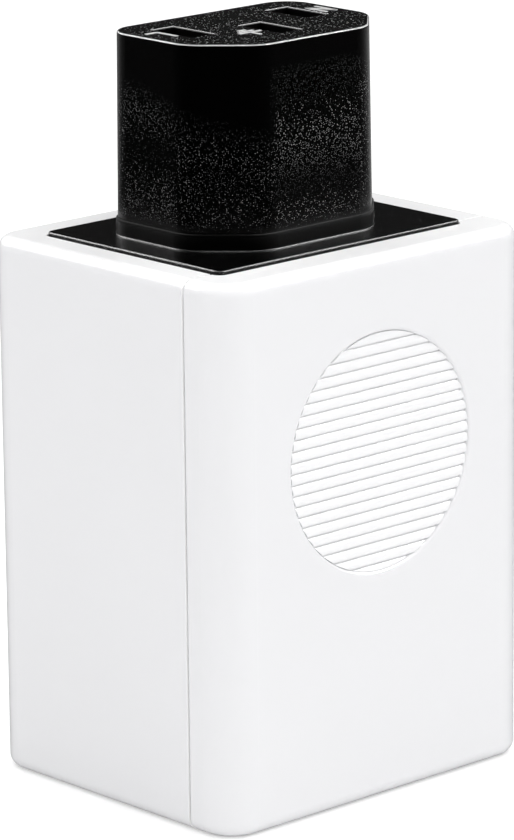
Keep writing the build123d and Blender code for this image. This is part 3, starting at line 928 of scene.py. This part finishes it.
@dataclass
class Outlet:
    """The black outlet on top with its cover, contacts and signs."""

    body: str = "outlet_body"
    cover: str = "outlet_cover"
    skin: float = 0.05 * MM
    hair: float = skin / 5
    hair_fall: float = skin / 10
    face_depth: float = 3 * skin
    plate_stand: float = 0.35 * MM
    side_depth: float = 0.15 * MM
    foot_height: float = 0.12 * MM
    collar_height: float = 1.5 * MM
    collar_fall: float = 0.8 * MM
    ledge: float = 0.15 * MM
    shade_from_top: float = 4.6 * MM
    shade_tilt: float = 0.35
    shade_until: float = -6.2 * MM
    fade_from_top: float = 2.0 * MM
    fade_rise: float = 3.0 * MM
    edge_depth: float = 0.09 * MM
    mouth_depth: float = 0.12 * MM
    mouth_reach: Place = (8.7 * MM, 5.2 * MM)
    flange_side: Gains = Gains(painted_glints=1.1, rough=1.5)
    flange_edge: Gains = Gains(painted_glints=0.4, rough=0.7)
    flange_top: Gains = Gains(painted_glints=0.42, rough=0.5, grain=0.75)
    nose_foot: Gains = Gains(rough=1.4)
    nose_collar: Gains = Gains(painted_glints=0.0, rough=1.4)
    collar_ledge: Gains = Gains(rough=5.0)
    # Painted shade on the nose: fewer painted glints on its left side, and none on its upper part.
    nose_shade: Gains = Gains(painted_glints=0.5)
    nose_upper_painted_shade: Gains = Gains(painted_glints=0.0)
    # Painted highlight along the nose's top edge.
    nose_edge: Gains = Gains(painted_highlight=0.8)
    nose_face: Gains = Gains(painted_glints=1.5, rough=0.45, grain=0.6)
    # Takes the painted highlight off again at the slots' mouths.
    slot_mouths: Gains = Gains(rough=4.0, painted_highlight=-0.8)
    bronze: Metal = Metal(
        "contact_bronze", color=(0.78, 0.52, 0.28), stain=(0.45, 0.27, 0.14), roughness=0.3
    )
    # Painted glint: the signs are light grey where the black plastic would glint.
    sign: SocketBlack = SocketBlack(
        "sign_painted_glint", (), color=(0.6, 0.6, 0.6), painted_glint=(0.9, 0.9, 0.9), glint_share=0.9
    )

    def zones(self) -> tuple[Zone, ...]:
        """Divides the moulding's texture and its painted glints, with painted shade on the nose's left
        side and upper part and a painted highlight along its top edge.

        Returns:
            The zones of the flange, the nose's foot, collar, sides, edge and face, and the slots'
            mouths.
        """
        low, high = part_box(self.body)
        top = high.z
        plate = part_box("rear_shell")[1].z + self.plate_stand
        above = plate + self.skin
        collar = plate + self.collar_height
        under = top - self.face_depth
        brink = top - self.hair
        return (
            Zone(low.z, plate - self.side_depth, self.flange_side, fall=self.skin),
            Zone(plate - self.side_depth / 2, plate - self.skin, self.flange_edge, rise=self.skin),
            Zone(plate - self.skin / 2, plate + self.skin / 2, self.flange_top),
            Zone(above, plate + self.foot_height, self.nose_foot),
            Zone(above, collar, self.nose_collar, fall=self.collar_fall),
            Zone(collar - self.ledge, collar + self.skin, self.collar_ledge),
            Zone(above, under, self.nose_shade, until=self.shade_until),
            Zone(top - self.fade_from_top, under, self.nose_upper_painted_shade, rise=self.fade_rise),
            Zone(
                top - self.shade_from_top,
                under,
                self.nose_upper_painted_shade,
                rise=self.fade_rise,
                tilt=self.shade_tilt,
                until=self.shade_until,
            ),
            Zone(top - self.edge_depth, brink, self.nose_edge, rise=self.hair, fall=self.hair_fall),
            Zone(top - self.skin / 2, top + self.skin, self.nose_face),
            Zone(
                top - self.mouth_depth,
                brink,
                self.slot_mouths,
                rise=self.hair,
                fall=self.hair_fall,
                middle=((low.x + high.x) / 2, (low.y + high.y) / 2),
                half=self.mouth_reach,
            ),
        )

    def axis(self) -> Vector:
        """Finds the upright axis of the three contacts.

        Returns:
            A point on it, midway between the poles across and between poles and earth in depth.
        """
        live_low, live_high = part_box("outlet_contact_live")
        neutral_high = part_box("outlet_contact_neutral")[1]
        earth_low, earth_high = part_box("outlet_contact_earth")
        pole_y = (live_low.y + live_high.y) / 2
        earth_y = (earth_low.y + earth_high.y) / 2
        return Vector(((live_low.x + neutral_high.x) / 2, (pole_y + earth_y) / 2, 0.0))

    def dress(self, shop: Workshop) -> None:
        """Dresses the outlet's pieces and adds its signs.

        Args:
            shop: Holds the materials.
        """
        finish = SocketBlack("socket_black", self.zones())
        for node in (self.body, self.cover):
            shop.dress_node(node, finish)
        for pole in Pole:
            shop.dress_node("outlet_contact_" + pole.value, self.bronze)
        face_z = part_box(self.body)[1].z
        PoleMarks(face_z=face_z, axis=self.axis()).build(shop, self.sign)


@dataclass
class Inlet:
    """The recessed inlet in the underside with its three pins."""

    body: str = "inlet_body"
    rim_skin: float = 0.02 * MM
    rim: Gains = Gains(painted_glints=0.2)
    nickel: Metal = Metal(
        "pin_nickel", color=(0.78, 0.76, 0.71), stain=(0.5, 0.48, 0.44), roughness=0.28
    )

    def dress(self, shop: Workshop) -> None:
        """Dresses the inlet's moulding and pins.

        Args:
            shop: Holds the materials.
        """
        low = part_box(self.body)[0]
        underside = Zone(low.z, low.z + self.rim_skin, self.rim)
        shop.dress_node(self.body, SocketBlack("inlet_black", (underside,)))
        for pole in Pole:
            shop.dress_node("inlet_pin_" + pole.value, self.nickel)


@dataclass
class InnerParts:
    """The circuit board with its parts, and the wires between the sockets and the board."""

    cans: int = 4
    board: Coated = Coated("board_green", color=(0.03, 0.19, 0.08), roughness=0.35, tone=0.3)
    sleeve: Coated = Coated("can_sleeve", color=(0.03, 0.04, 0.09), roughness=0.3)
    epoxy: Coated = Coated("epoxy_black", color=(0.02, 0.02, 0.022), roughness=0.6, depth=0.02 * MM)
    film_box: Coated = Coated("film_box_yellow", color=(0.72, 0.5, 0.06), roughness=0.45)
    coating: Coated = Coated("varistor_blue", color=(0.03, 0.12, 0.42), roughness=0.25, depth=0.03 * MM)
    lacquer: Coated = Coated("resistor_beige", color=(0.62, 0.46, 0.27), roughness=0.4)
    brown: Coated = Coated("wire_brown", color=(0.2, 0.08, 0.03), roughness=0.4)
    blue: Coated = Coated("wire_blue", color=(0.03, 0.16, 0.55), roughness=0.4)
    green: Coated = Coated("wire_green", color=(0.08, 0.4, 0.06), roughness=0.4)

    def dress(self, shop: Workshop) -> None:
        """Dresses the board, its parts and the wires.

        Args:
            shop: Holds the materials.
        """
        finishes = {
            "circuit_board": self.board,
            "live_bridge": self.epoxy,
            "neutral_bridge": self.epoxy,
            "suppression_capacitor": self.film_box,
            "surge_varistor": self.coating,
            "bleed_resistor": self.lacquer,
            "inlet_live_wire": self.brown,
            "outlet_live_wire": self.brown,
            "inlet_neutral_wire": self.blue,
            "outlet_neutral_wire": self.blue,
            "earth_wire": self.green,
        }
        for number in range(1, self.cans + 1):
            finishes[f"blocking_capacitor_{number}"] = self.sleeve
        for node, finish in finishes.items():
            shop.dress_node(node, finish)


@dataclass(frozen=True)
class Softbox:
    """A square studio light that points at the middle of the adaptor."""

    name: str
    purpose: Light
    azimuth: float
    elevation: float
    size: float
    radiance: float
    distance: float = 1.0

    def build(self, middle: Vector) -> None:
        """Builds the light.

        Args:
            middle: The point that it shines on.
        """
        turn = math.radians(self.azimuth)
        rise = math.radians(self.elevation)
        away = Vector((math.sin(turn) * math.cos(rise), -math.cos(turn) * math.cos(rise), math.sin(rise)))
        data = bpy.data.lights.new(self.name, "AREA")
        data.shape = "SQUARE"
        data.size = self.size
        data.energy = self.radiance * math.pi * self.size**2
        lamp = put_in_scene(self.name, data)
        lamp.location = middle + away * self.distance
        lamp.rotation_mode = "QUATERNION"
        lamp.rotation_quaternion = (-away).to_track_quat("-Z", "Y")
        lamp.visible_camera = False
        lamp.visible_diffuse = self.purpose is Light.FILL
        lamp.visible_glossy = self.purpose is Light.GLEAM


@dataclass(frozen=True)
class Camera:
    """The camera at the photograph's viewing angle."""

    place: tuple[float, float, float] = (-0.299571, -0.323292, 0.147865)
    forward: tuple[float, float, float] = (0.65705, 0.71004, -0.25324)
    right: tuple[float, float, float] = (0.73209, -0.68113, -0.0103)
    sensor: float = 36.0
    image_height: float = 840.0
    focal_pixels: float = 4965.2
    nearest: float = 0.01
    farthest: float = 20.0

    def build(self) -> None:
        """Builds the camera and makes it the scene's own."""
        ahead = Vector(self.forward).normalized()
        aside = Vector(self.right)
        aside = (aside - ahead * aside.dot(ahead)).normalized()
        above = aside.cross(ahead)
        data = bpy.data.cameras.new("camera")
        data.sensor_width = self.sensor
        data.lens = self.focal_pixels / self.image_height * self.sensor
        data.clip_start = self.nearest
        data.clip_end = self.farthest
        eye = put_in_scene("camera", data)
        turn = Matrix((aside, above, -ahead)).transposed().to_4x4()
        eye.matrix_world = Matrix.Translation(Vector(self.place)) @ turn
        bpy.context.scene.camera = eye


@dataclass(frozen=True)
class Studio:
    """Pale floor, even surroundings and softboxes."""

    floor_reach: float = 3.0
    floor_glow: float = 0.06
    paper: Color = (0.9, 0.9, 0.9)
    paper_seen: Color = (0.6, 0.6, 0.6)
    glow_seen: float = 0.42
    floor_dark: float = 0.01
    floor_far: float = 0.45
    away: tuple[float, float, float] = (0.68, 0.73, 0.0)
    near_depth: float = 0.12
    far_depth: float = 0.25
    seen_sky: float = 1.0
    fill_sky: float = 0.55
    gleam_sky: float = 0.03
    boxes: tuple[Softbox, ...] = (
        Softbox("fill_front_right", Light.FILL, azimuth=40.0, elevation=55.0, size=0.6, radiance=1.0),
        Softbox("fill_top", Light.FILL, azimuth=0.0, elevation=88.0, size=1.8, radiance=1.5),
        Softbox("gleam_right", Light.GLEAM, azimuth=70.0, elevation=42.0, size=0.5, radiance=80.0),
        Softbox("gleam_rear", Light.GLEAM, azimuth=192.0, elevation=36.0, size=0.5, radiance=50.0),
        Softbox("gleam_top", Light.GLEAM, azimuth=0.0, elevation=86.0, size=0.3, radiance=60.0),
    )

    def floor_material(self) -> bpy.types.Material:
        """Builds the floor's paper, which the camera, the lights and mirrors each meet differently.

        Returns:
            The material, which can't be seen from below.
        """
        material = bpy.data.materials.new("studio_paper")
        material.use_nodes = True
        sheet = NodeSheet(material.node_tree)
        paper = material.node_tree.nodes["Principled BSDF"]
        output = material.node_tree.nodes["Material Output"]
        rays = sheet.add("ShaderNodeLightPath")
        self.set_paper(sheet, paper, rays.outputs["Is Camera Ray"])
        gloss = rays.outputs["Is Glossy Ray"]
        above = sheet.mix_shaders(gloss, paper.outputs["BSDF"], self.mirrored(sheet))
        side = sheet.add("ShaderNodeNewGeometry")
        clear = sheet.add("ShaderNodeBsdfTransparent")
        one_sided = sheet.mix_shaders(side.outputs["Backfacing"], above, clear.outputs["BSDF"])
        sheet.join(one_sided, output.inputs["Surface"])
        return material

    def set_paper(self, sheet: NodeSheet, paper: bpy.types.Node, seen: bpy.types.NodeSocket) -> None:
        """Makes the paper matt, and darker but with more glow where the camera sees it.

        Args:
            sheet: The material's nodes.
            paper: The paper's own shader.
            seen: 1 for what the camera sees and 0 for what lights the adaptor.
        """
        paper.inputs["Roughness"].default_value = 1.0
        paper.inputs["Specular IOR Level"].default_value = 0.0
        paper.inputs["Emission Color"].default_value = opaque(WHITE)
        color = sheet.blend(seen, opaque(self.paper), opaque(self.paper_seen))
        sheet.join(color, paper.inputs["Base Color"])
        glow = sheet.math("MULTIPLY_ADD", seen, self.glow_seen - self.floor_glow, self.floor_glow)
        sheet.join(glow, paper.inputs["Emission Strength"])

    def mirrored(self, sheet: NodeSheet) -> bpy.types.NodeSocket:
        """Gives what shiny surfaces mirror of the floor: dark near by, lighter further back.

        Args:
            sheet: The material's nodes.

        Returns:
            A glow that grows with the distance away from the camera.
        """
        depth = sheet.add("ShaderNodeVectorMath", operation="DOT_PRODUCT")
        sheet.join(sheet.add("ShaderNodeTexCoord").outputs["Object"], depth.inputs[0])
        depth.inputs[1].default_value = self.away
        glow = sheet.ramp(
            depth.outputs["Value"], self.near_depth, self.far_depth, self.floor_dark, self.floor_far
        )
        dim = sheet.add("ShaderNodeEmission")
        sheet.join(glow, dim.inputs["Strength"])
        return dim.outputs["Emission"]

    def build_floor(self) -> None:
        """Builds the floor and marks it as stage."""
        mesh = bmesh.new()
        bmesh.ops.create_grid(mesh, x_segments=1, y_segments=1, size=self.floor_reach)
        floor = finish_mesh("floor", mesh)
        floor.data.materials.append(self.floor_material())
        floor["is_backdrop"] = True

    def build_sky(self) -> None:
        """Builds the even surroundings: white behind the object, softer as light, dim in gloss."""
        world = bpy.data.worlds.new("studio")
        bpy.context.scene.world = world
        world.use_nodes = True
        sheet = NodeSheet(world.node_tree)
        background = world.node_tree.nodes["Background"]
        background.inputs["Color"].default_value = opaque(WHITE)
        rays = sheet.add("ShaderNodeLightPath")
        gloss = sheet.math("MULTIPLY", rays.outputs["Is Glossy Ray"], self.gleam_sky - self.fill_sky)
        seen = sheet.math("MULTIPLY", rays.outputs["Is Camera Ray"], self.seen_sky - self.fill_sky)
        strength = sheet.math("ADD", sheet.math("ADD", gloss, seen), self.fill_sky)
        sheet.join(strength, background.inputs["Strength"])

    def build(self, middle: Vector) -> None:
        """Builds the whole studio.

        Args:
            middle: The middle of the adaptor, which the lights point at.
        """
        self.build_floor()
        self.build_sky()
        for box in self.boxes:
            box.build(middle)
        Camera().build()
        bpy.context.scene.view_settings.view_transform = "Standard"


def main() -> None:
    """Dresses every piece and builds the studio."""
    cad_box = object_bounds()
    shop = Workshop(Effects())
    CaseShells().dress(shop)
    Outlet().dress(shop)
    Inlet().dress(shop)
    InnerParts().dress(shop)
    Studio().build((cad_box[0] + cad_box[1]) / 2)


if __name__ == "__main__":
    main()
